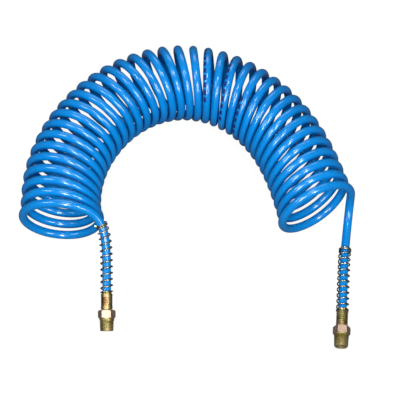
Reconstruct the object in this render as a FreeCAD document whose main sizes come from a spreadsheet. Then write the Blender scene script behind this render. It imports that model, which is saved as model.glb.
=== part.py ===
import FreeCAD, Part
import Sketcher
import math
import os

Vector = FreeCAD.Vector

# A spiral air hose lying on a flat surface in an arch: 35 turns of tube whose two straight tails
# each carry a spring bend guard, a crimped ferrule and a swivelling male-threaded end.
# Frame: +Z up, the surface at Z = 0, both threaded ends pointing towards -Y.

doc = FreeCAD.newDocument("coiled_air_hose")
sheet = doc.addObject("Spreadsheet::Sheet", "sizes")

# alias, value, meaning (lengths in mm, angles in degrees)
SIZES = [
    ("hose_od", "8", "tube outside diameter"),
    ("hose_bore", "5", "tube inside diameter"),
    ("coil_radius", "34", "radius of a turn, to the middle of the tube"),
    ("coil_height", "=coil_radius + hose_od / 2", "height of the coil's centre line"),
    ("coil_turns", "35", "turns between the two mouths of the coil"),
    ("coil_pitch", "12.2", "advance per turn along the arch"),
    ("cut_gap", "0.1", "gap between neighbouring lengths of tube"),
    ("length_turns", "1.5", "turns in one jointed length of tube"),
    ("lengths_per_leg", "11", "jointed lengths of tube in each half of the coil"),
    ("bend_left_end", "5.4", "turning of the arch per turn of tube, at the left mouth"),
    ("bend_left_leg", "4.7", "the same, half way along the left leg"),
    ("bend_crown", "8.0", "the same, at the crown of the arch"),
    ("bend_right_leg", "4.7", "the same, half way along the right leg"),
    ("bend_right_end", "0.7", "the same, at the right mouth"),
    ("lean_left", "-15.4", "angle between a turn and the square to the arch, left mouth"),
    ("lean_crown", "15.7", "the same, at the crown"),
    ("lean_right", "15.4", "the same, at the right mouth"),
    ("mouth_flare", "3", "how much wider the last turns spread sideways"),
    ("flare_turns", "1.5", "turns over which a mouth spreads"),
    ("crown_heading", "1.7", "direction of the arch at its crown, from +X"),
    ("crown_x", "-8.7", "crown of the arch"),
    ("crown_y", "117.5", "crown of the arch"),
    ("thread_tip_r", "6.37", "tapered thread, crest radius at the tip"),
    ("thread_root_r", "6.74", "tapered thread, crest radius at the hexagon"),
    ("thread_length", "11", "length of the thread"),
    ("thread_pitch", "1.337", "19 threads to the inch"),
    ("thread_depth", "0.78", "depth of the thread"),
    ("thread_start", "-0.7", "where the cutter for the thread starts, below the tip"),
    ("thread_cut_r", "=thread_tip_r + 0.05", "outer side of the thread's section"),
    ("thread_floor_r", "=thread_tip_r - thread_depth", "floor of the thread's section"),
    ("thread_open_low", "=thread_start - thread_pitch * 0.45", "thread's section, lower flank"),
    ("thread_open_high", "=thread_start + thread_pitch * 0.45", "thread's section, upper flank"),
    ("thread_floor_low", "=thread_start - thread_pitch * 0.07", "thread's section, floor"),
    ("thread_floor_high", "=thread_start + thread_pitch * 0.07", "thread's section, floor"),
    ("thread_runout", "0.6", "plain length between the thread and the hexagon"),
    ("thread_cut_length", "=thread_length - thread_runout", "length of the cut along the axis"),
    ("thread_lead", "0.8", "chamfer at the tip of the thread"),
    ("hex_flats", "14", "across flats"),
    ("hex_length", "8", "length of the hexagon"),
    ("hex_end", "=thread_length + hex_length", "back of the hexagon"),
    ("hex_chamfer", "0.95", "how far the corner cone reaches along the hexagon"),
    ("shoulder_rise", "0.6", "how far the front face of the hexagon slopes back"),
    ("hex_shoulder", "=thread_length + shoulder_rise", "front face, at its chamfer circle"),
    ("hex_shoulder_corner", "=hex_shoulder + hex_chamfer", "front chamfer at the corners"),
    ("hex_back_corner", "=hex_end - hex_chamfer", "back chamfer at the corners"),
    ("thread_tip_lead_r", "=thread_tip_r - thread_lead", "tip of the thread"),
    ("hex_cone_r", "6.95", "radius of the chamfer circle on the end faces"),
    ("hex_corner_r", "8.2", "just outside the corners"),
    ("cavity_r", "4.3", "swivel cavity, open at the thread's tip"),
    ("cavity_end", "16", "bottom of the swivel cavity"),
    ("neck_bore_r", "3.35", "bore the stem's neck turns in"),
    ("clip_groove_r", "4.7", "groove for the retaining ring"),
    ("clip_front", "10.9", "front of the retaining-ring groove"),
    ("clip_back", "11.8", "back of the retaining-ring groove"),
    ("clip_outer_r", "4.65", "retaining ring, outside"),
    ("clip_inner_r", "3.7", "retaining ring, inside"),
    ("clip_gap_half", "1.5", "half the opening between the retaining ring's ends"),
    ("clip_side_gap", "0.05", "play of the retaining ring in its groove"),
    ("clip_ring_front", "=clip_front + clip_side_gap", "retaining ring, front face"),
    ("clip_ring_back", "=clip_back - clip_side_gap", "retaining ring, back face"),
    ("cavity_lead", "0.5", "chamfer at the mouth of the cavity"),
    ("cavity_lead_r", "=cavity_r + cavity_lead", "chamfer at the mouth of the cavity"),
    ("washer_front", "15.35", "thrust washer, face towards the stem's head"),
    ("washer_back", "15.95", "thrust washer, face towards the cavity's bottom"),
    ("washer_outer_r", "4.25", "thrust washer, outside"),
    ("washer_inner_r", "3.4", "thrust washer, inside"),
    ("head_r", "4.25", "head of the stem"),
    ("head_front", "12", "front of the stem's head"),
    ("head_back", "15.3", "back of the stem's head"),
    ("seal_front", "12.9", "front of the seal groove"),
    ("seal_back", "14.2", "back of the seal groove"),
    ("seal_floor_r", "3.2", "floor of the seal groove"),
    ("seal_middle", "=(seal_front + seal_back) / 2", "middle of the seal groove"),
    ("seal_section_r", "0.5", "O-ring, section radius"),
    ("seal_ring_r", "3.73", "O-ring, ring radius"),
    ("stem_bore_r", "1.7", "air way through the stem"),
    ("neck_r", "3.3", "neck of the stem inside the hexagon"),
    ("neck_end", "22", "end of the neck, at the ferrule's inner face"),
    ("barb_root_r", "2.3", "barbs, root radius"),
    ("barb_crest_r", "2.58", "barbs, crest radius, pressed into the tube"),
    ("barb_length", "2.2", "length of one barb"),
    ("barb_count", "4", "barbs on one stem"),
    ("barb_start", "23", "first barb, sharp edge"),
    ("barb_land_length", "0.5", "straight land behind a barb's edge"),
    ("barb_land", "=barb_start + barb_land_length", "first barb, end of its land"),
    ("barb_first_end", "=barb_start + barb_length", "first barb, foot of its slope"),
    ("barb_end", "=barb_start + barb_length * barb_count", "free end of the stem"),
    ("stem_waist_r", "2.7", "waist of the stem inside the ferrule's end wall"),
    ("stem_bore_wall_r", "=(stem_bore_r + barb_root_r) / 2", "inside the stem's wall"),
    ("ferrule_front", "19.5", "ferrule, end towards the hexagon"),
    ("ferrule_length", "14.3", "ferrule, length of the full diameter"),
    ("ferrule_back", "=ferrule_front + ferrule_length", "ferrule, shoulder the guard rests on"),
    ("ferrule_r", "5.3", "ferrule, outside radius"),
    ("ferrule_bore_r", "4.02", "ferrule, bore over the tube"),
    ("ferrule_neck_r", "4.55", "ferrule, neck the guard is screwed on"),
    ("ferrule_neck_end", "35.6", "ferrule, end of the neck"),
    ("crimp_first", "23.2", "first crimp ring"),
    ("crimp_step", "2.1", "distance between crimp rings"),
    ("crimp_count", "4", "crimp rings"),
    ("crimp_width", "1.1", "width of a crimp ring"),
    ("crimp_depth", "0.28", "depth of a crimp ring"),
    ("crimp_last", "=crimp_first + crimp_width", "far edge of the first crimp ring"),
    ("crimp_floor_start", "=crimp_first + crimp_width * 0.3", "floor of the crimp ring"),
    ("crimp_floor_end", "=crimp_first + crimp_width * 0.7", "floor of the crimp ring"),
    ("crimp_floor_r", "=ferrule_r - crimp_depth", "floor of the crimp ring"),
    ("crimp_outside_r", "=ferrule_r + 1", "just outside the ferrule"),
    ("ferrule_wall_r", "2.75", "hole in the ferrule's end wall"),
    ("tube_end", "22.15", "end of the tube inside the ferrule"),
    ("guard_seat_gap", "0.05", "bend guard, gap to the ferrule's shoulder"),
    ("guard_wire", "1.3", "bend guard, wire diameter"),
    ("guard_coil_r", "5.25", "bend guard, radius to the middle of the wire"),
    ("guard_pitch", "5.7", "bend guard, pitch of the open coils"),
    ("guard_close_pitch", "1.45", "bend guard, pitch of the closed coils"),
    ("guard_open_coils", "10.5", "bend guard, open coils"),
    ("guard_seat_coils", "1", "bend guard, closed coils at the ferrule"),
    ("guard_free_coils", "2", "bend guard, closed coils at the free end"),
    ("left_leave_turn", "-0.349", "where the left tail leaves its turn"),
    ("left_tip_x", "-73.35", "tip of the left thread"),
    ("left_tip_y", "-137.6", "tip of the left thread"),
    ("left_tip_z", "5.85", "tip of the left thread"),
    ("left_slope", "24.3", "downward slope of the left tail"),
    ("left_yaw", "0.7", "sideways angle of the left tail from -Y"),
    ("left_run", "53", "straight run of the left tail, from the tip"),
    ("left_leave_pull", "64.6", "reach of the left bend from the turn"),
    ("left_run_pull", "100.4", "reach of the left bend from the straight run"),
    ("right_leave_turn", "35", "where the right tail leaves its turn"),
    ("right_tip_x", "138.6", "tip of the right thread"),
    ("right_tip_y", "-154", "tip of the right thread"),
    ("right_tip_z", "7.4", "tip of the right thread"),
    ("right_slope", "4.5", "downward slope of the right tail"),
    ("right_yaw", "-4.7", "sideways angle of the right tail from -Y"),
    ("right_run", "78.7", "straight run of the right tail, from the tip"),
    ("right_leave_pull", "107", "reach of the right bend from the turn"),
    ("right_run_pull", "39.7", "reach of the right bend from the straight run"),
]

for row, (alias, value, meaning) in enumerate(SIZES, start=1):
    sheet.set("A%d" % row, alias)
    sheet.set("B%d" % row, value)
    sheet.set("C%d" % row, meaning)
    sheet.setAlias("B%d" % row, alias)
doc.recompute()


def size(alias):
    return float(sheet.get(alias))


# ---------------------------------------------------------------- the line the tube follows

STEPS_PER_TURN = 48
NODES_PER_TURN = 4
ROUNDING = 0.01
BENDS = [size(name) for name in
    ("bend_left_end", "bend_left_leg", "bend_crown", "bend_right_leg", "bend_right_end")]
LEANS = [size(name) for name in ("lean_left", "lean_crown", "lean_right")]
TURNS = size("coil_turns")
PITCH = size("coil_pitch")
RADIUS = size("coil_radius")
HEIGHT = size("coil_height")


def along_arch(turn):
    """Place along the arch: -1 at the left mouth, 0 at the crown, 1 at the right mouth."""
    return 2.0 * turn / TURNS - 1.0


def bend_at(turn):
    """Turning of the arch per turn of tube, in degrees, blended between its five stations."""
    station = min(max((along_arch(turn) + 1.0) * 2.0, 0.0), 3.999)
    index = int(station)
    share = station - index
    return BENDS[index] * (1.0 - share) + BENDS[index + 1] * share


def lean_at(turn):
    """Angle between the turn and the square to the arch, in degrees."""
    place = along_arch(turn)
    left, crown, right = LEANS
    return crown + (right - left) / 2.0 * place + ((right + left) / 2.0 - crown) * place * place


def walk_arch():
    """Centre line of the arch: x, y and heading at every step, from half a turn before the left
    mouth to half a turn after the right one, with the crown at its stated place."""
    first = -STEPS_PER_TURN // 2
    last = int(TURNS) * STEPS_PER_TURN + STEPS_PER_TURN // 2
    rows = []
    x = 0.0
    y = 0.0
    heading = 0.0
    for step in range(first, last + 1):
        rows.append([x, y, heading])
        middle = (step + 0.5) / STEPS_PER_TURN
        turned = bend_at(middle) / STEPS_PER_TURN
        direction = math.radians(heading - turned / 2.0)
        x += PITCH / STEPS_PER_TURN * math.cos(direction)
        y += PITCH / STEPS_PER_TURN * math.sin(direction)
        heading -= turned
    crown_x, crown_y, crown_heading = rows[int(TURNS * STEPS_PER_TURN / 2) - first]
    spin = math.radians(size("crown_heading") - crown_heading)
    walked = []
    for x, y, heading in rows:
        dx = x - crown_x
        dy = y - crown_y
        walked.append((size("crown_x") + dx * math.cos(spin) - dy * math.sin(spin),
                       size("crown_y") + dx * math.sin(spin) + dy * math.cos(spin),
                       heading + math.degrees(spin)))
    return first, walked


FIRST_STEP, ARCH = walk_arch()


def spread_at(turn):
    """Extra sideways radius of the last turns, where the coil opens out at its mouths."""
    inside = min(turn, TURNS - turn)
    share = max(0.0, 1.0 - max(inside, 0.0) / size("flare_turns"))
    return size("mouth_flare") * share * share


def coil_point(turn):
    """Middle of the tube at a place on the coil; whole turns are at the arch's outer side."""
    place = turn * STEPS_PER_TURN - FIRST_STEP
    index = min(int(place), len(ARCH) - 2)
    share = place - index
    start = ARCH[index]
    end = ARCH[index + 1]
    x = start[0] + (end[0] - start[0]) * share
    y = start[1] + (end[1] - start[1]) * share
    facing = math.radians(start[2] + (end[2] - start[2]) * share + lean_at(turn))
    angle = 2.0 * math.pi * turn
    out = (RADIUS + spread_at(turn)) * math.cos(angle)
    return Vector(x - math.sin(facing) * out,
                  y + math.cos(facing) * out,
                  HEIGHT - RADIUS * math.sin(angle))


def coil_direction(turn):
    """Unit vector along the tube, towards the right mouth."""
    small = 0.5 / STEPS_PER_TURN
    direction = coil_point(turn + small) - coil_point(turn - small)
    return direction.normalize()


def coil_nodes(start, end):
    """Points and directions along the coil, about a quarter of a turn apart."""
    count = max(1, int(math.ceil(abs(end - start) * NODES_PER_TURN - ROUNDING)))
    turns = [start + (end - start) * index / count for index in range(count + 1)]
    travel = 1.0 if end > start else -1.0
    return [(coil_point(turn), coil_direction(turn) * travel) for turn in turns]


# ---------------------------------------------------------------- tails

def tail_heading(side):
    """Unit vector from the tube towards the tip of the thread."""
    slope = math.radians(size(side + "_slope"))
    yaw = math.radians(size(side + "_yaw"))
    return Vector(math.sin(yaw) * math.cos(slope),
                  -math.cos(yaw) * math.cos(slope),
                  -math.sin(slope))


def tail_tip(side):
    return Vector(size(side + "_tip_x"), size(side + "_tip_y"), size(side + "_tip_z"))


def bend_nodes(side, count):
    """Points and directions along the free bend between the coil and the straight run."""
    turn = size(side + "_leave_turn")
    away = coil_direction(turn)
    if side == "left":
        away = away * -1.0
    heading = tail_heading(side)
    start = coil_point(turn)
    end = tail_tip(side) - heading * size(side + "_run")
    near_start = start + away * (size(side + "_leave_pull") / 3.0)
    near_end = end - heading * (size(side + "_run_pull") / 3.0)
    nodes = []
    for index in range(count + 1):
        b = index / float(count)
        a = 1.0 - b
        point = (start * a ** 3 + near_start * (3 * a * a * b)
                 + near_end * (3 * a * b * b) + end * b ** 3)
        slope = ((near_start - start) * (a * a) + (near_end - near_start) * (2 * a * b)
                 + (end - near_end) * (b * b))
        nodes.append((point, slope.normalize()))
    return nodes


# ---------------------------------------------------------------- pieces

SIDES = ("left", "right")
EXPORTS = []


def place(piece, label, placement):
    piece.Label = label
    piece.Placement = placement
    EXPORTS.append(piece)


STRAIGHT = 1e-7


def arc_edge(start, direction, end):
    """Arc of a circle that leaves start in the given direction and ends at end."""
    chord = end - start
    along = chord * (1.0 / chord.Length)
    sideways = direction - along * direction.dot(along)
    if sideways.Length < STRAIGHT:
        return Part.makeLine(start, end)
    half_angle = math.acos(min(1.0, direction.dot(along))) / 2.0
    height = chord.Length / 2.0 * math.tan(half_angle)
    middle = start + chord * 0.5 + sideways.normalize() * height
    return Part.Arc(start, middle, end).toShape()


def smooth_path(nodes):
    """Wire of circular arcs through the nodes, two between each pair, that keeps to the nodes'
    directions, so that every swept face is an exact torus or cylinder."""
    edges = []
    for (start, leaving), (end, arriving) in zip(nodes, nodes[1:]):
        chord = end - start
        total = leaving + arriving
        spread = 1.0 - leaving.dot(arriving)
        if spread < STRAIGHT:
            edges.append(Part.makeLine(start, end))
            continue
        reach = chord.dot(total)
        arm = (math.sqrt(reach * reach + 2.0 * spread * chord.dot(chord)) - reach) / (2.0 * spread)
        joint_direction = (chord - total * arm).normalize()
        joint = (start + end + (leaving - arriving) * arm) * 0.5
        edges.append(arc_edge(start, leaving, joint))
        edges.append(arc_edge(joint, joint_direction, end))
    return Part.Wire(edges)


def disc(node, radius):
    return Part.Face(Part.Wire(Part.makeCircle(radius, node[0], node[1])))


def swept_tube(nodes):
    wall = disc(nodes[0], size("hose_od") / 2.0).cut(disc(nodes[0], size("hose_bore") / 2.0))
    return smooth_path(nodes).makePipe(wall.Faces[0])


def swept_spring(nodes):
    return smooth_path(nodes).makePipe(disc(nodes[0], size("guard_wire") / 2.0))


def add_swept(label, nodes, sweep):
    """A piece swept in its own frame, which starts at its first node, and placed there."""
    anchor = nodes[0][0]
    piece = doc.addObject("Part::Feature", label)
    piece.Shape = sweep([(point - anchor, direction) for point, direction in nodes])
    place(piece, label, FreeCAD.Placement(anchor, FreeCAD.Rotation()))


# ---- the coil: equal lengths from each mouth, and one longer length between them at the crown

LENGTH = size("length_turns")
PER_LEG = int(size("lengths_per_leg"))
CUTS = [LENGTH * index for index in range(PER_LEG + 1)]
CUTS += [TURNS - LENGTH * index for index in range(PER_LEG, -1, -1)]
GAP = size("cut_gap") / (2.0 * math.pi * RADIUS)

for index in range(len(CUTS) - 1):
    nodes = coil_nodes(CUTS[index], CUTS[index + 1] - GAP)
    add_swept("coil_%02d" % (index + 1), nodes, swept_tube)


# ---- the tails: the rest of the tube, from the outermost point of the last turn to the ferrule

BEND_NODES = 5


def tail_nodes(side):
    """The rest of the last turn, the free bend and the straight run, down to the tube's end."""
    nodes = bend_nodes(side, BEND_NODES)
    if side == "left":
        nodes = coil_nodes(-GAP, size("left_leave_turn"))[:-1] + nodes
    heading = tail_heading(side)
    nodes.append((tail_tip(side) - heading * size("tube_end"), heading))
    return nodes


for side in SIDES:
    add_swept(side + "_tail_tube", tail_nodes(side), swept_tube)


# ---- bend guards: open springs around the tails, closed at both ends

GUARD_NODES_PER_COIL = 4
BEND_SAMPLES = 240
COIL_STEP = 0.01


def tail_frames(side):
    """Rows of distance from the tip, point, and two vectors square to the tube, with the vectors
    carried along the bend without twisting."""
    back = tail_heading(side) * -1.0
    across = back.cross(Vector(0, 0, 1)).normalize()
    previous = tail_tip(side)
    distance = 0.0
    rows = [(distance, previous, across, back.cross(across))]
    for point, direction in reversed(bend_nodes(side, BEND_SAMPLES)):
        step = point - previous
        distance += step.Length
        along = step.normalize()
        across = (across - along * across.dot(along)).normalize()
        rows.append((distance, point, across, along.cross(across)))
        previous = point
    return rows


def frame_at(rows, distance):
    index = 0
    while index < len(rows) - 2 and rows[index + 1][0] < distance:
        index += 1
    start = rows[index]
    end = rows[index + 1]
    share = (distance - start[0]) / (end[0] - start[0])
    return [start[item] + (end[item] - start[item]) * share for item in (1, 2, 3)]


def guard_advance(coils):
    """Distance along the tube from the guard's seat after a number of coils."""
    seat = size("guard_seat_coils")
    opened = size("guard_open_coils")
    in_seat = min(coils, seat)
    in_open = min(max(coils - seat, 0.0), opened)
    in_free = max(coils - seat - opened, 0.0)
    return (in_seat + in_free) * size("guard_close_pitch") + in_open * size("guard_pitch")


def guard_point(rows, coils):
    seat = size("ferrule_back") + size("guard_wire") / 2.0 + size("guard_seat_gap")
    middle, across, up = frame_at(rows, seat + guard_advance(coils))
    angle = 2.0 * math.pi * coils
    return middle + (across * math.cos(angle) + up * math.sin(angle)) * size("guard_coil_r")


def guard_nodes(side):
    rows = tail_frames(side)
    coils = size("guard_seat_coils") + size("guard_open_coils") + size("guard_free_coils")
    count = int(round(coils * GUARD_NODES_PER_COIL))
    nodes = []
    for index in range(count + 1):
        coil = coils * index / count
        direction = guard_point(rows, coil + COIL_STEP) - guard_point(rows, coil - COIL_STEP)
        nodes.append((guard_point(rows, coil), direction.normalize()))
    return nodes


for side in SIDES:
    add_swept(side + "_bend_guard", guard_nodes(side), swept_spring)


# ---- turned pieces: bodies about their own Z, which runs from the thread's tip to the tube

def plane_of(body, role):
    for plane in body.Origin.OriginFeatures:
        if plane.Role == role:
            return plane
    raise RuntimeError("no plane " + role)


def new_body(name):
    return doc.addObject("PartDesign::Body", name)


def new_sketch(body, role, name):
    sketch = body.newObject("Sketcher::SketchObject", name)
    sketch.AttachmentSupport = [(plane_of(body, role), "")]
    sketch.MapMode = "FlatFace"
    return sketch


def bind(sketch, kind, geometry, point, alias):
    """Distance of a point from the sketch's origin, driven by the sheet."""
    index = sketch.addConstraint(
        Sketcher.Constraint(kind, -1, 1, geometry, point, size(alias)))
    sketch.setExpression("Constraints[%d]" % index, "sizes." + alias)


def closed_outline(sketch, corners):
    """Closed outline of straight lines; each corner is (radius alias, height alias), with None
    for a corner on the axis or on the plane of the tip."""
    places = [Vector(size(radius) if radius else 0.0, size(height) if height else 0.0, 0)
              for radius, height in corners]
    count = len(places)
    lines = [sketch.addGeometry(Part.LineSegment(places[index], places[(index + 1) % count]))
             for index in range(count)]
    for index in range(count):
        sketch.addConstraint(Sketcher.Constraint(
            "Coincident", lines[index], 2, lines[(index + 1) % count], 1))
    for line, (radius, height) in zip(lines, corners):
        if radius:
            bind(sketch, "DistanceX", line, 1, radius)
        else:
            sketch.addConstraint(Sketcher.Constraint("PointOnObject", line, 1, -2))
        if height:
            bind(sketch, "DistanceY", line, 1, height)
        else:
            sketch.addConstraint(Sketcher.Constraint("PointOnObject", line, 1, -1))


def turn_profile(body, kind, name, corners):
    """Revolution or Groove of an outline about the body's Z."""
    sketch = new_sketch(body, "XZ_Plane", name + "_outline")
    closed_outline(sketch, corners)
    doc.recompute()
    feature = body.newObject("PartDesign::" + kind, name)
    feature.Profile = sketch
    feature.ReferenceAxis = (sketch, ["V_Axis"])
    feature.Angle = 360.0
    sketch.Visibility = False
    doc.recompute()
    return feature


def repeat_along(body, feature, name, count_alias, step_alias):
    pattern = body.newObject("PartDesign::LinearPattern", name)
    pattern.Originals = [feature]
    pattern.Direction = (feature.Profile[0], ["V_Axis"])
    pattern.Mode = "Spacing"
    pattern.setExpression("Offset", "sizes." + step_alias)
    pattern.setExpression("Occurrences", "sizes." + count_alias)
    body.Tip = pattern
    doc.recompute()
    return pattern


def fitting_placement(side):
    """Local Z from the tip of the thread back along the tube, local X kept level."""
    back = tail_heading(side) * -1.0
    level = back.cross(Vector(0, 0, 1)).normalize()
    rotation = FreeCAD.Rotation(level, back.cross(level), back, "ZXY")
    return FreeCAD.Placement(tail_tip(side), rotation)


def cut_thread(body, name):
    sketch = new_sketch(body, "XZ_Plane", name + "_section")
    closed_outline(sketch, [
        ("thread_cut_r", "thread_open_low"),
        ("thread_cut_r", "thread_open_high"),
        ("thread_floor_r", "thread_floor_high"),
        ("thread_floor_r", "thread_floor_low"),
    ])
    doc.recompute()
    thread = body.newObject("PartDesign::SubtractiveHelix", name)
    thread.Profile = sketch
    thread.ReferenceAxis = (sketch, ["V_Axis"])
    thread.Mode = "pitch-height-angle"
    thread.setExpression("Pitch", "sizes.thread_pitch")
    thread.setExpression("Height", "sizes.thread_cut_length")
    growth = "sizes.thread_root_r - sizes.thread_tip_r"
    thread.setExpression("Angle", "atan((%s) / sizes.thread_length)" % growth)
    thread.Reversed = False
    sketch.Visibility = False
    doc.recompute()


def build_ferrule(side):
    body = new_body(side + "_ferrule")
    turn_profile(body, "Revolution", side + "_ferrule_shell", [
        ("ferrule_wall_r", "ferrule_front"),
        ("ferrule_r", "ferrule_front"),
        ("ferrule_r", "ferrule_back"),
        ("ferrule_neck_r", "ferrule_back"),
        ("ferrule_neck_r", "ferrule_neck_end"),
        ("ferrule_bore_r", "ferrule_neck_end"),
        ("ferrule_bore_r", "neck_end"),
        ("ferrule_wall_r", "neck_end"),
    ])
    crimp = turn_profile(body, "Groove", side + "_crimp", [
        ("ferrule_r", "crimp_first"),
        ("crimp_outside_r", "crimp_first"),
        ("crimp_outside_r", "crimp_last"),
        ("ferrule_r", "crimp_last"),
        ("crimp_floor_r", "crimp_floor_end"),
        ("crimp_floor_r", "crimp_floor_start"),
    ])
    repeat_along(body, crimp, side + "_crimps", "crimp_count", "crimp_step")
    return body


def build_stem(side):
    body = new_body(side + "_stem")
    turn_profile(body, "Revolution", side + "_stem_core", [
        ("stem_bore_r", "head_front"),
        ("head_r", "head_front"),
        ("head_r", "seal_front"),
        ("seal_floor_r", "seal_front"),
        ("seal_floor_r", "seal_back"),
        ("head_r", "seal_back"),
        ("head_r", "head_back"),
        ("neck_r", "head_back"),
        ("neck_r", "ferrule_front"),
        ("stem_waist_r", "ferrule_front"),
        ("stem_waist_r", "tube_end"),
        ("barb_root_r", "tube_end"),
        ("barb_root_r", "barb_end"),
        ("stem_bore_r", "barb_end"),
    ])
    barb = turn_profile(body, "Revolution", side + "_barb", [
        ("stem_bore_wall_r", "barb_start"),
        ("barb_crest_r", "barb_start"),
        ("barb_crest_r", "barb_land"),
        ("barb_root_r", "barb_first_end"),
        ("stem_bore_wall_r", "barb_first_end"),
    ])
    repeat_along(body, barb, side + "_barbs", "barb_count", "barb_length")
    return body


def build_washer(side):
    body = new_body(side + "_thrust_washer")
    turn_profile(body, "Revolution", side + "_washer_ring", [
        ("washer_inner_r", "washer_front"),
        ("washer_outer_r", "washer_front"),
        ("washer_outer_r", "washer_back"),
        ("washer_inner_r", "washer_back"),
    ])
    return body


def build_snap_ring(side):
    body = new_body(side + "_snap_ring")
    turn_profile(body, "Revolution", side + "_snap_ring_hoop", [
        ("clip_inner_r", "clip_ring_front"),
        ("clip_outer_r", "clip_ring_front"),
        ("clip_outer_r", "clip_ring_back"),
        ("clip_inner_r", "clip_ring_back"),
    ])
    slot = new_sketch(body, "XY_Plane", side + "_snap_ring_slot")
    slot_rectangle(slot, "clip_gap_half", "hex_corner_r")
    doc.recompute()
    cut = body.newObject("PartDesign::Pocket", side + "_snap_ring_gap")
    cut.Profile = slot
    cut.Type = "ThroughAll"
    cut.Midplane = True
    doc.recompute()
    return body


def slot_rectangle(sketch, half_width, reach):
    """Rectangle from the axis outwards along +X, as wide as twice half_width."""
    half = size(half_width)
    far = size(reach)
    corners = [Vector(0, -half, 0), Vector(far, -half, 0), Vector(far, half, 0), Vector(0, half, 0)]
    lines = [sketch.addGeometry(Part.LineSegment(corners[index], corners[(index + 1) % 4]))
             for index in range(4)]
    for index in range(4):
        sketch.addConstraint(Sketcher.Constraint(
            "Coincident", lines[index], 2, lines[(index + 1) % 4], 1))
    sketch.addConstraint(Sketcher.Constraint("Horizontal", lines[0]))
    sketch.addConstraint(Sketcher.Constraint("Vertical", lines[1]))
    sketch.addConstraint(Sketcher.Constraint("Horizontal", lines[2]))
    sketch.addConstraint(Sketcher.Constraint("PointOnObject", lines[0], 1, -2))
    sketch.addConstraint(Sketcher.Constraint("PointOnObject", lines[3], 1, -2))
    bind(sketch, "DistanceX", lines[1], 1, reach)
    bind(sketch, "DistanceY", lines[2], 1, half_width)
    index = sketch.addConstraint(Sketcher.Constraint("DistanceY", lines[0], 1, -1, 1, half))
    sketch.setExpression("Constraints[%d]" % index, "sizes." + half_width)


def build_seal(side):
    body = new_body(side + "_o_ring")
    sketch = new_sketch(body, "XZ_Plane", side + "_o_ring_section")
    centre = Vector(size("seal_ring_r"), size("seal_middle"), 0)
    section = sketch.addGeometry(Part.Circle(centre, Vector(0, 0, 1), size("seal_section_r")))
    bind(sketch, "DistanceX", section, 3, "seal_ring_r")
    bind(sketch, "DistanceY", section, 3, "seal_middle")
    index = sketch.addConstraint(Sketcher.Constraint("Radius", section, size("seal_section_r")))
    sketch.setExpression("Constraints[%d]" % index, "sizes.seal_section_r")
    doc.recompute()
    ring = body.newObject("PartDesign::Revolution", side + "_o_ring_hoop")
    ring.Profile = sketch
    ring.ReferenceAxis = (sketch, ["V_Axis"])
    ring.Angle = 360.0
    doc.recompute()
    return body


def build_hex_body(side):
    body = new_body(side + "_hex_body")
    flats = new_sketch(body, "XY_Plane", side + "_flats")
    hexagon(flats, "hex_flats")
    doc.recompute()
    block = body.newObject("PartDesign::Pad", side + "_hex_block")
    block.Profile = flats
    block.setExpression("Length", "sizes.hex_end")
    doc.recompute()
    turn_profile(body, "Groove", side + "_thread_blank", [
        ("thread_tip_lead_r", None),
        ("hex_corner_r", None),
        ("hex_corner_r", "hex_shoulder_corner"),
        ("hex_cone_r", "hex_shoulder"),
        ("thread_root_r", "thread_length"),
        ("thread_tip_r", "thread_lead"),
    ])
    turn_profile(body, "Groove", side + "_back_chamfer", [
        ("hex_cone_r", "hex_end"),
        ("hex_corner_r", "hex_back_corner"),
        ("hex_corner_r", "hex_end"),
    ])
    turn_profile(body, "Groove", side + "_cavity", [
        (None, None),
        ("cavity_lead_r", None),
        ("cavity_r", "cavity_lead"),
        ("cavity_r", "clip_front"),
        ("clip_groove_r", "clip_front"),
        ("clip_groove_r", "clip_back"),
        ("cavity_r", "clip_back"),
        ("cavity_r", "cavity_end"),
        ("neck_bore_r", "cavity_end"),
        ("neck_bore_r", "hex_end"),
        (None, "hex_end"),
    ])
    cut_thread(body, side + "_thread")
    return body


def hexagon(sketch, flats):
    """Regular hexagon about the origin with two flats facing up and down."""
    corner = size(flats) / math.sqrt(3.0)
    points = [Vector(corner * math.cos(math.radians(60 * index)),
                     corner * math.sin(math.radians(60 * index)), 0) for index in range(6)]
    lines = [sketch.addGeometry(Part.LineSegment(points[index], points[(index + 1) % 6]))
             for index in range(6)]
    circle = sketch.addGeometry(Part.Circle(Vector(0, 0, 0), Vector(0, 0, 1), corner), True)
    for index in range(6):
        sketch.addConstraint(Sketcher.Constraint(
            "Coincident", lines[index], 2, lines[(index + 1) % 6], 1))
        sketch.addConstraint(Sketcher.Constraint("PointOnObject", lines[index], 1, circle))
    for index in range(1, 6):
        sketch.addConstraint(Sketcher.Constraint("Equal", lines[0], lines[index]))
    sketch.addConstraint(Sketcher.Constraint("Coincident", circle, 3, -1, 1))
    sketch.addConstraint(Sketcher.Constraint("PointOnObject", lines[0], 1, -1))
    index = sketch.addConstraint(Sketcher.Constraint("Radius", circle, corner))
    sketch.setExpression("Constraints[%d]" % index, "sizes.%s / sqrt(3)" % flats)


BUILDERS = (build_hex_body, build_stem, build_ferrule, build_washer, build_snap_ring, build_seal)
for side in SIDES:
    for build in BUILDERS:
        body = build(side)
        doc.recompute()
        place(body, body.Name, fitting_placement(side))

doc.recompute()

# ---------------------------------------------------------------- checks and files

for item in doc.Objects:
    for state in item.State:
        if state in ("Invalid", "Error"):
            raise RuntimeError("%s is %s" % (item.Name, state))

os.makedirs("parts", exist_ok=True)
for piece in EXPORTS:
    shape = piece.Shape
    if shape.isNull() or not shape.isValid() or len(shape.Solids) != 1:
        raise RuntimeError(piece.Label + " is not one valid solid")
    shape.exportStep("parts/%s.step" % piece.Label)
    print(piece.Label, round(shape.Volume, 2))
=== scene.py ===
import math

import bpy
from mathutils import Matrix, Vector


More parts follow.
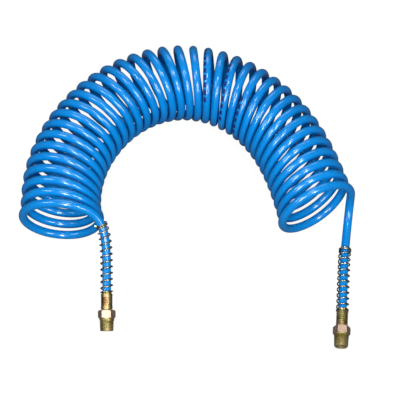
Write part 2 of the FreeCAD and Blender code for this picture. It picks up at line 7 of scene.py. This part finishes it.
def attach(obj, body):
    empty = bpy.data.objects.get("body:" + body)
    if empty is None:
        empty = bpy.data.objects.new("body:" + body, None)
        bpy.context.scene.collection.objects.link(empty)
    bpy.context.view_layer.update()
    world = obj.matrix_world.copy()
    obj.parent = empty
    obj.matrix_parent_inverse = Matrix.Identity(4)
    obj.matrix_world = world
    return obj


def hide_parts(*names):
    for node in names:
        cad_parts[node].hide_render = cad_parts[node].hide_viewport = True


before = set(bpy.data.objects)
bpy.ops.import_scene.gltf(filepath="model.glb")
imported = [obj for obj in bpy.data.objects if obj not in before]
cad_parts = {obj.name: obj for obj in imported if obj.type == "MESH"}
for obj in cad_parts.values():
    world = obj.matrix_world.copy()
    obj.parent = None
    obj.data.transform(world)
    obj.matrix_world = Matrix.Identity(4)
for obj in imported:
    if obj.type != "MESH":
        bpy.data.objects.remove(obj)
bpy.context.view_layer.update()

MM = 0.001

# ---------------------------------------------------------------- sizes, repeated from part.py

TURNS = 35.0
LENGTH_TURNS = 1.5
LENGTHS_PER_LEG = 11
PITCH = 12.2 * MM
COIL_RADIUS = 34.0 * MM
TUBE_RADIUS = 4.0 * MM
COIL_HEIGHT = COIL_RADIUS + TUBE_RADIUS
# bend of the arch in degrees per turn, at five even stations from the left mouth to the right
BENDS = (5.4, 4.7, 8.0, 4.7, 0.7)
# lean of the turns in degrees, at the left mouth, the crown and the right mouth
LEANS = (-15.4, 15.7, 15.4)
MOUTH_FLARE = 3.0 * MM
FLARE_TURNS = 1.5
CROWN = Vector((-8.7 * MM, 117.5 * MM, 0.0))
CROWN_HEADING = 1.7
STEPS_PER_TURN = 48
MESH_COARSENESS = 1

# where each tail leaves the coil (in turns), the tip of its thread (mm), the slope and yaw of its
# straight run (degrees), the run's length and the pull of the bend at both ends (mm)
TAILS = {
    "left": {"leave": -0.349, "tip": (-73.35, -137.6, 5.85), "slope": 24.3, "yaw": 0.7,
             "run": 53.0, "leave_pull": 64.6, "run_pull": 100.4},
    "right": {"leave": 35.0, "tip": (138.6, -154.0, 7.4), "slope": 4.5, "yaw": -4.7,
              "run": 78.7, "leave_pull": 107.0, "run_pull": 39.7},
}
# from the tip of the thread, in mm
TUBE_END = 22.15
THREAD_LENGTH = 11.0
# where the colours of the thread fade into the hexagon's, past the thread's length, in mm
THREAD_EDGE = (0.2, 0.7)


# ---------------------------------------------------------------- the line the tube follows

def bend_at(turn):
    """Degrees that the arch bends in one turn."""
    spans = len(BENDS) - 1
    station = min(max(spans * turn / TURNS, 0.0), spans - 0.001)
    index = int(station)
    share = station - index
    return BENDS[index] * (1.0 - share) + BENDS[index + 1] * share


def lean_at(turn):
    """Degrees that a turn leans away from square to the arch."""
    place = 2.0 * turn / TURNS - 1.0
    left, crown, right = LEANS
    return crown + (right - left) / 2.0 * place + ((right + left) / 2.0 - crown) * place * place


def walk_arch():
    """Centre line of the arch: (x, y, heading) at every step, from half a turn outside one
    mouth to half a turn outside the other."""
    first = -STEPS_PER_TURN // 2
    last = int(TURNS) * STEPS_PER_TURN + STEPS_PER_TURN // 2
    rows = []
    x = y = heading = 0.0
    for step in range(first, last + 1):
        rows.append((x, y, heading))
        turned = bend_at((step + 0.5) / STEPS_PER_TURN) / STEPS_PER_TURN
        direction = math.radians(heading - turned / 2.0)
        x += PITCH / STEPS_PER_TURN * math.cos(direction)
        y += PITCH / STEPS_PER_TURN * math.sin(direction)
        heading -= turned
    crown_x, crown_y, crown_heading = rows[int(TURNS * STEPS_PER_TURN / 2) - first]
    spin = CROWN_HEADING - crown_heading
    turn_about = Matrix.Rotation(math.radians(spin), 3, "Z")
    walked = []
    for x, y, heading in rows:
        place = CROWN + turn_about @ Vector((x - crown_x, y - crown_y, 0.0))
        walked.append((place, heading + spin))
    return first, walked


FIRST_STEP, ARCH = walk_arch()


def ring_at(turn):
    """Centre of the turn and the direction it faces, as a point and an angle."""
    place = turn * STEPS_PER_TURN - FIRST_STEP
    index = min(int(place), len(ARCH) - 2)
    share = place - index
    start, end = ARCH[index], ARCH[index + 1]
    centre = start[0].lerp(end[0], share)
    return centre, math.radians(start[1] + (end[1] - start[1]) * share + lean_at(turn))


def coil_point(turn):
    """Centre of the tube; whole turns are on the outside of the arch."""
    centre, facing = ring_at(turn)
    inside = max(min(turn, TURNS - turn), 0.0)
    flare = MOUTH_FLARE * max(0.0, 1.0 - inside / FLARE_TURNS) ** 2
    angle = 2.0 * math.pi * turn
    out = (COIL_RADIUS + flare) * math.cos(angle)
    return Vector((centre.x - math.sin(facing) * out,
                   centre.y + math.cos(facing) * out,
                   COIL_HEIGHT - COIL_RADIUS * math.sin(angle)))


def coil_direction(turn):
    """Direction of the tube, with the turns counted from the left mouth."""
    small = 0.5 / STEPS_PER_TURN
    return (coil_point(turn + small) - coil_point(turn - small)).normalized()


def facing_at(turn):
    """Direction that a turn faces, towards the right mouth."""
    facing = ring_at(turn)[1]
    return Vector((math.cos(facing), math.sin(facing), 0.0))


def tail_heading(side):
    """Direction from the tube towards the tip of the thread."""
    slope = math.radians(TAILS[side]["slope"])
    yaw = math.radians(TAILS[side]["yaw"])
    return Vector((math.sin(yaw) * math.cos(slope),
                   -math.cos(yaw) * math.cos(slope),
                   -math.sin(slope)))


def tail_tip(side):
    return Vector(TAILS[side]["tip"]) * MM


def tail_bend(side, count):
    """Points along the free bend between the coil and the straight run."""
    tail = TAILS[side]
    away = coil_direction(tail["leave"])
    if side == "left":
        away.negate()
    heading = tail_heading(side)
    start = coil_point(tail["leave"])
    end = tail_tip(side) - heading * tail["run"] * MM
    near_start = start + away * tail["leave_pull"] / 3.0 * MM
    near_end = end - heading * tail["run_pull"] / 3.0 * MM
    points = []
    for index in range(count + 1):
        b = index / count
        a = 1.0 - b
        points.append(start * a ** 3 + near_start * 3 * a * a * b
                      + near_end * 3 * a * b * b + end * b ** 3)
    return points


# ---------------------------------------------------------------- mesh helpers

def add_mesh(name, vertices, faces, material, normals=None):
    mesh = bpy.data.meshes.new(name)
    mesh.from_pydata([tuple(v) for v in vertices], [], faces)
    mesh.polygons.foreach_set("use_smooth", [True] * len(mesh.polygons))
    if normals is not None:
        mesh.normals_split_custom_set_from_vertices([tuple(n) for n in normals])
    mesh.materials.append(material)
    obj = bpy.data.objects.new(name, mesh)
    bpy.context.collection.objects.link(obj)
    return obj


def swept_mesh(name, path, radius, sides, material):
    """Open skin of a round section along a path of (point, direction, cross vector) rows."""
    vertices = []
    normals = []
    for point, direction, across in path:
        first = (across - direction * across.dot(direction)).normalized()
        second = direction.cross(first)
        for side in range(sides + 1):
            angle = 2.0 * math.pi * side / sides
            normal = first * math.cos(angle) + second * math.sin(angle)
            vertices.append(point + normal * radius)
            normals.append(normal)
    faces = []
    ring = sides + 1
    for row in range(len(path) - 1):
        for side in range(sides):
            a = row * ring + side
            faces.append((a, a + 1, a + ring + 1, a + ring))
    return add_mesh(name, vertices, faces, material, normals)


def carried_frames(points, across):
    """Adds directions and untwisted cross vectors to a list of points."""
    rows = []
    for index, point in enumerate(points):
        before = points[max(index - 1, 0)]
        after = points[min(index + 1, len(points) - 1)]
        direction = (after - before).normalized()
        across = (across - direction * across.dot(direction)).normalized()
        rows.append((point, direction, across))
    return rows


# ---------------------------------------------------------------- materials

# sockets of the colour version of the Mix node
MIX_FACTOR = 0
MIX_LOW = 6
MIX_HIGH = 7
MIX_RESULT = 2


def grey(value):
    return (value, value, value, 1.0)


class Finish:
    """A material and short ways to wire its nodes."""

    def __init__(self, name, **inputs):
        self.material = bpy.data.materials.new(name)
        self.material.use_nodes = True
        self.tree = self.material.node_tree
        self.shader = self.tree.nodes["Principled BSDF"]
        self.set(**inputs)
        self.place = self.node("ShaderNodeTexCoord").outputs["Object"]

    def set(self, **inputs):
        for key, value in inputs.items():
            self.shader.inputs[key.replace("_", " ")].default_value = value

    def node(self, kind, **settings):
        made = self.tree.nodes.new(kind)
        for key, value in settings.items():
            setattr(made, key, value)
        return made

    def link(self, source, target):
        self.tree.links.new(source, target)

    def noise(self, scale, detail=3.0):
        noise = self.node("ShaderNodeTexNoise")
        noise.inputs["Scale"].default_value = scale
        noise.inputs["Detail"].default_value = detail
        self.link(self.place, noise.inputs["Vector"])
        return noise.outputs["Fac"]

    def ramp(self, factor, *stops):
        """Colour ramp of (position, colour) stops."""
        ramp = self.node("ShaderNodeValToRGB")
        elements = ramp.color_ramp.elements
        while len(elements) < len(stops):
            elements.new(0.5)
        for element, (position, colour) in zip(elements, stops):
            element.position = position
            element.color = colour
        self.link(factor, ramp.inputs["Fac"])
        return ramp.outputs["Color"]

    def mix(self, factor, low, high):
        """Colour between low and high; each is a colour or a socket."""
        mix = self.node("ShaderNodeMix", data_type="RGBA")
        for value, socket in ((factor, MIX_FACTOR), (low, MIX_LOW), (high, MIX_HIGH)):
            if isinstance(value, tuple):
                mix.inputs[socket].default_value = value
            else:
                self.link(value, mix.inputs[socket])
        return mix.outputs[MIX_RESULT]

    def station(self, side):
        """Distance from the tip of the thread along the fitting, in metres."""
        back = -tail_heading(side)
        dot = self.node("ShaderNodeVectorMath", operation="DOT_PRODUCT")
        dot.inputs[1].default_value = back
        self.link(self.place, dot.inputs[0])
        start = self.node("ShaderNodeMath", operation="SUBTRACT")
        start.inputs[1].default_value = tail_tip(side).dot(back)
        self.link(dot.outputs["Value"], start.inputs[0])
        return start.outputs["Value"]


def tube_finish():
    """Glossy, faintly translucent polyurethane, slightly clouded, with painted shade: deep navy is
    mixed into the base colour where ambient occlusion finds close surfaces, as in the gaps between
    turns.
    """
    finish = Finish("hose_blue", IOR=1.5, Coat_Weight=0.4, Coat_Roughness=0.14,
                    Subsurface_Weight=0.06, Subsurface_Radius=(0.1, 0.4, 1.0),
                    Subsurface_Scale=1.5 * MM)
    cloud = finish.ramp(finish.noise(45.0), (0.3, (0.0, 0.195, 0.575, 1.0)),
                        (0.7, (0.0, 0.225, 0.645, 1.0)))
    # painted shade: ambient occlusion mixes deep navy into the base colour in the gaps between turns
    shade_occlusion = finish.node("ShaderNodeAmbientOcclusion", samples=16)
    shade_occlusion.inputs["Distance"].default_value = 9.0 * MM
    painted_gap_shade = finish.ramp(shade_occlusion.outputs["AO"], (0.15, grey(0.0)), (0.6, grey(1.0)))
    finish.link(finish.mix(painted_gap_shade, (0.0, 0.008, 0.16, 1.0), cloud),
                finish.shader.inputs["Base Color"])
    finish.link(finish.ramp(finish.noise(30.0, 1.0), (0.3, grey(0.17)), (0.7, grey(0.20))),
                finish.shader.inputs["Roughness"])
    return finish.material


def even_steps(first, last, count):
    return [first + (last - first) * index / (count - 1) for index in range(count)]


def plated_finish(name, side, body, thread=None, rough=(0.36, 0.44)):
    """Iridescent zinc plate in cloudy patches of the body's colours; the thread's colours take
    over in front of the hexagon."""
    finish = Finish(name, Metallic=1.0)
    colour = finish.ramp(finish.noise(60.0, 1.0), *zip(even_steps(0.34, 0.66, len(body)), body))
    station = finish.station(side)
    if thread:
        threaded = finish.ramp(finish.noise(60.0, 0.0),
                               *zip(even_steps(0.36, 0.64, len(thread)), thread))
        edge = finish.node("ShaderNodeMapRange")
        edge.inputs["From Min"].default_value = (THREAD_LENGTH + THREAD_EDGE[0]) * MM
        edge.inputs["From Max"].default_value = (THREAD_LENGTH + THREAD_EDGE[1]) * MM
        finish.link(station, edge.inputs["Value"])
        colour = finish.mix(edge.outputs["Result"], threaded, colour)
    finish.link(colour, finish.shader.inputs["Base Color"])
    finish.link(finish.ramp(finish.noise(300.0, 1.0), (0.35, grey(rough[0])), (0.7, grey(rough[1]))),
                finish.shader.inputs["Roughness"])
    return finish.material


def wire_finish():
    """Zinc plated wire, grey with olive stains."""
    finish = Finish("guard_plating", Metallic=1.0)
    stain = finish.ramp(finish.noise(120.0, 2.0), (0.35, (0.30, 0.32, 0.29, 1.0)),
                        (0.52, (0.40, 0.38, 0.22, 1.0)), (0.68, (0.52, 0.52, 0.47, 1.0)))
    finish.link(stain, finish.shader.inputs["Base Color"])
    finish.link(finish.ramp(finish.noise(800.0), (0.35, grey(0.18)), (0.7, grey(0.34))),
                finish.shader.inputs["Roughness"])
    return finish.material


def simple_finish(name, dark, light, rough, metallic=0.0):
    """Fine mottling between two colours."""
    finish = Finish(name, Metallic=metallic)
    finish.link(finish.ramp(finish.noise(400.0), (0.35, dark), (0.65, light)),
                finish.shader.inputs["Base Color"])
    finish.link(finish.ramp(finish.noise(900.0), (0.3, grey(rough)), (0.7, grey(rough + 0.12))),
                finish.shader.inputs["Roughness"])
    return finish.material


GOLD = (0.56, 0.42, 0.20, 1.0)
OLIVE = (0.30, 0.26, 0.08, 1.0)
BROWN = (0.27, 0.15, 0.06, 1.0)
STRAW = (0.60, 0.50, 0.27, 1.0)
BEIGE = (0.58, 0.42, 0.30, 1.0)
PINK = (0.64, 0.45, 0.35, 1.0)

TUBE_BLUE = tube_finish()
WIRE = wire_finish()
RING_STEEL = simple_finish("ring_steel", grey(0.16), grey(0.28), 0.3, 1.0)
WASHER = simple_finish("washer_acetal", grey(0.66), grey(0.78), 0.4)
SEAL = simple_finish("seal_nitrile", grey(0.012), grey(0.03), 0.5)
PRINT = simple_finish("print_ink", (0.0, 0.010, 0.11, 1.0), (0.0, 0.018, 0.15, 1.0), 0.5)


def finish_fitting(side):
    """Puts the materials on the CAD pieces of one end."""
    finishes = {
        "hex_body": plated_finish(side + "_hex_plating", side, (BEIGE, PINK, GOLD), (OLIVE, STRAW),
                                  (0.46, 0.54)),
        "ferrule": plated_finish(side + "_ferrule_plating", side, (BROWN, GOLD, OLIVE, STRAW)),
        "stem": plated_finish(side + "_stem_plating", side, (GOLD, STRAW)),
        "bend_guard": WIRE,
        "o_ring": SEAL,
        "thrust_washer": WASHER,
        "snap_ring": RING_STEEL,
    }
    for part, material in finishes.items():
        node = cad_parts[side + "_" + part]
        node.data.materials.clear()
        node.data.materials.append(material)


for side in TAILS:
    finish_fitting(side)

# ---------------------------------------------------------------- the tube

CUTS = [LENGTH_TURNS * index for index in range(LENGTHS_PER_LEG + 1)]
CUTS += [TURNS - LENGTH_TURNS * index for index in range(LENGTHS_PER_LEG, -1, -1)]
ROWS_PER_TURN = 96 // MESH_COARSENESS
TUBE_SIDES = 32 // MESH_COARSENESS
BEND_ROWS = 60


def coil_rows(start, end):
    """Rows for swept_mesh along the coil, in the direction from start to end."""
    count = max(2, int(round(abs(end - start) * ROWS_PER_TURN)))
    turns = [start + (end - start) * index / count for index in range(count + 1)]
    travel = 1.0 if end > start else -1.0
    return [(coil_point(turn), coil_direction(turn) * travel, facing_at(turn)) for turn in turns]


def add_tube(name, rows, node, body):
    """Piece of tube that stands for a CAD node and rides on a body."""
    piece = swept_mesh(name, rows, TUBE_RADIUS, TUBE_SIDES, TUBE_BLUE)
    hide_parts(node)
    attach(piece, body)


def tail_rows(side):
    """Rows for swept_mesh from the end of the coil to the end of the tube in the fitting."""
    points = tail_bend(side, BEND_ROWS)
    points.append(tail_tip(side) - tail_heading(side) * TUBE_END * MM)
    if side == "left":
        rows = coil_rows(0.0, TAILS[side]["leave"])
        return rows[:-1] + carried_frames([rows[-2][0]] + points, rows[-1][2])[1:]
    rows = carried_frames(points, facing_at(TURNS))
    rows[0] = (points[0], coil_direction(TURNS), facing_at(TURNS))
    return rows


for index in range(len(CUTS) - 1):
    node = "coil_%02d" % (index + 1)
    add_tube("hose_" + node, coil_rows(CUTS[index], CUTS[index + 1]), node, node)

for side in TAILS:
    add_tube(side + "_hose_tail", tail_rows(side), side + "_tail_tube", side + "_tail")

# ---------------------------------------------------------------- plain dashes of ink

DASH_LENGTH_TURNS = 0.021
DASH_STEP_TURNS = 0.031
DASH_HALF_WIDTH = math.radians(20.0)
DASH_CENTRE = math.radians(-33.0)  # as surface_point counts its angle
DASH_THICKNESS = 0.05 * MM
DASH_CELLS = 4

# coil length, first turn and last turn of each row of dashes
PRINT_ROWS = (("coil_13", 19.58, 19.88), ("coil_15", 21.52, 21.86), ("coil_16", 23.5, 23.68))


def surface_point(turn, angle, radius):
    """Point on the tube; angle 0 faces away from the turn's centre, positive to the right."""
    middle = coil_point(turn)
    direction = coil_direction(turn)
    outwards = (middle - (coil_point(turn - 0.25) + coil_point(turn + 0.25)) / 2.0)
    outwards = (outwards - direction * outwards.dot(direction)).normalized()
    rightwards = facing_at(turn)
    rightwards = rightwards - direction * rightwards.dot(direction)
    rightwards = (rightwards - outwards * rightwards.dot(outwards)).normalized()
    return middle + (outwards * math.cos(angle) + rightwards * math.sin(angle)) * radius


def add_dashes(name, first, last):
    """Row of short raised dashes of ink on one turn, as one closed mesh per dash."""
    vertices = []
    faces = []
    side = DASH_CELLS + 1
    turn = first
    while turn + DASH_LENGTH_TURNS < last:
        base = len(vertices)
        for radius in (TUBE_RADIUS - DASH_THICKNESS, TUBE_RADIUS + DASH_THICKNESS):
            for row in range(side):
                for column in range(side):
                    along = turn + DASH_LENGTH_TURNS * row / DASH_CELLS
                    angle = DASH_CENTRE + DASH_HALF_WIDTH * (2.0 * column / DASH_CELLS - 1.0)
                    vertices.append(surface_point(along, angle, radius))
        top = base + side * side
        for row in range(DASH_CELLS):
            for column in range(DASH_CELLS):
                a = row * side + column
                corners = (a, a + 1, a + side + 1, a + side)
                faces.append(tuple(top + c for c in corners))
                faces.append(tuple(base + c for c in reversed(corners)))
        rim = list(range(side))
        rim += [row * side + DASH_CELLS for row in range(1, side)]
        rim += [DASH_CELLS * side + column for column in range(DASH_CELLS - 1, -1, -1)]
        rim += [row * side for row in range(DASH_CELLS - 1, 0, -1)]
        for here, after in zip(rim, rim[1:] + rim[:1]):
            faces.append((base + here, base + after, top + after, top + here))
        turn += DASH_STEP_TURNS
    return add_mesh(name, vertices, faces, PRINT)


for node, first, last in PRINT_ROWS:
    dashes = add_dashes("print_" + node, first, last)
    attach(dashes, node)

# ---------------------------------------------------------------- surroundings

VIEW_TARGET = Vector((11.4 * MM, 5.4 * MM, 0.0))
VIEW_ELEVATION = 58.72
VIEW_DISTANCE = 1.2674
LENS = 117.6
SENSOR_WIDTH = 36.0
NEAREST_SEEN = 0.01
FARTHEST_SEEN = 50.0


def studio_place(azimuth, elevation, distance):
    """Place around the hose: azimuth 0 is in front of it, positive to the right."""
    azimuth = math.radians(azimuth)
    elevation = math.radians(elevation)
    return VIEW_TARGET + Vector((math.sin(azimuth) * math.cos(elevation),
                                 -math.cos(azimuth) * math.cos(elevation),
                                 math.sin(elevation))) * distance


def aim(obj, place):
    obj.location = place
    obj.rotation_mode = "QUATERNION"
    obj.rotation_quaternion = (VIEW_TARGET - place).to_track_quat("-Z", "Y")
    bpy.context.collection.objects.link(obj)


def add_camera():
    data = bpy.data.cameras.new("camera")
    data.lens = LENS
    data.sensor_width = SENSOR_WIDTH
    data.clip_start = NEAREST_SEEN
    data.clip_end = FARTHEST_SEEN
    camera = bpy.data.objects.new("camera", data)
    aim(camera, studio_place(0.0, VIEW_ELEVATION, VIEW_DISTANCE))
    bpy.context.scene.camera = camera


add_camera()

# name, azimuth, elevation, width and height in metres, brightness
SOFTBOXES = (
    ("front_softbox", -8.0, 43.0, 0.27, 0.80, 24.0),
    ("right_softbox", 36.0, 43.0, 0.22, 0.80, 22.0),
    ("left_softbox", -75.0, 50.0, 0.40, 0.60, 9.0),
    ("back_softbox", 180.0, 40.0, 1.20, 0.60, 2.2),
    ("left_lamp", -60.0, 86.0, 0.14, 0.24, 26.0),
    ("right_lamp", 60.0, 84.0, 0.14, 0.24, 26.0),
)
LIGHT_DISTANCE = 1.6


def add_softbox(name, azimuth, elevation, width, height, brightness):
    data = bpy.data.lights.new(name, "AREA")
    data.shape = "RECTANGLE"
    data.size = width
    data.size_y = height
    data.energy = math.pi * width * height * brightness
    aim(bpy.data.objects.new(name, data), studio_place(azimuth, elevation, LIGHT_DISTANCE))


for softbox in SOFTBOXES:
    add_softbox(*softbox)


def seen_or_lit(tree, seen, lit):
    """One shader for the camera and another for the light that bounces onto the hose."""
    path = tree.nodes.new("ShaderNodeLightPath")
    mix = tree.nodes.new("ShaderNodeMixShader")
    tree.links.new(path.outputs["Is Camera Ray"], mix.inputs["Fac"])
    tree.links.new(lit, mix.inputs[1])
    tree.links.new(seen, mix.inputs[2])
    return mix.outputs["Shader"]


def background(tree, strength):
    """Background light in the node's own pale grey."""
    shader = tree.nodes.new("ShaderNodeBackground")
    shader.inputs["Strength"].default_value = strength
    return shader.outputs["Background"]


ROOM_LIGHT = 0.14
FLOOR_GLOW = 0.9
FLOOR_BOUNCE = 0.07
FLOOR_REACH = 3.0
FLOOR_HEIGHT = -0.3 * MM


def output_of(tree, kind):
    return next(node for node in tree.nodes if node.type == kind)


def add_world():
    """Pale grey to the camera, dim to the hose."""
    world = bpy.data.worlds.new("studio")
    world.use_nodes = True
    tree = world.node_tree
    shader = seen_or_lit(tree, background(tree, 1.0), background(tree, ROOM_LIGHT))
    tree.links.new(shader, output_of(tree, "OUTPUT_WORLD").inputs["Surface"])
    bpy.context.scene.world = world
    bpy.context.scene.view_settings.view_transform = "Standard"


def floor_finish():
    """Pale paper to the camera, dark to the light that bounces onto the hose."""
    paper = Finish("floor_paper", Roughness=0.9, Specular_IOR_Level=0.1)
    paper.link(paper.ramp(paper.noise(6.0), (0.3, grey(0.12)), (0.7, grey(0.14))),
               paper.shader.inputs["Base Color"])
    paper.set(Emission_Color=grey(1.0), Emission_Strength=FLOOR_GLOW)
    dim = paper.node("ShaderNodeBsdfDiffuse")
    dim.inputs["Color"].default_value = grey(FLOOR_BOUNCE)
    shader = seen_or_lit(paper.tree, paper.shader.outputs["BSDF"], dim.outputs["BSDF"])
    paper.link(shader, output_of(paper.tree, "OUTPUT_MATERIAL").inputs["Surface"])
    return paper.material


def add_floor():
    corners = ((-1, -1), (1, -1), (1, 1), (-1, 1))
    vertices = [(x * FLOOR_REACH, y * FLOOR_REACH, FLOOR_HEIGHT) for x, y in corners]
    add_mesh("floor", vertices, [(0, 1, 2, 3)], floor_finish())


add_world()
add_floor()
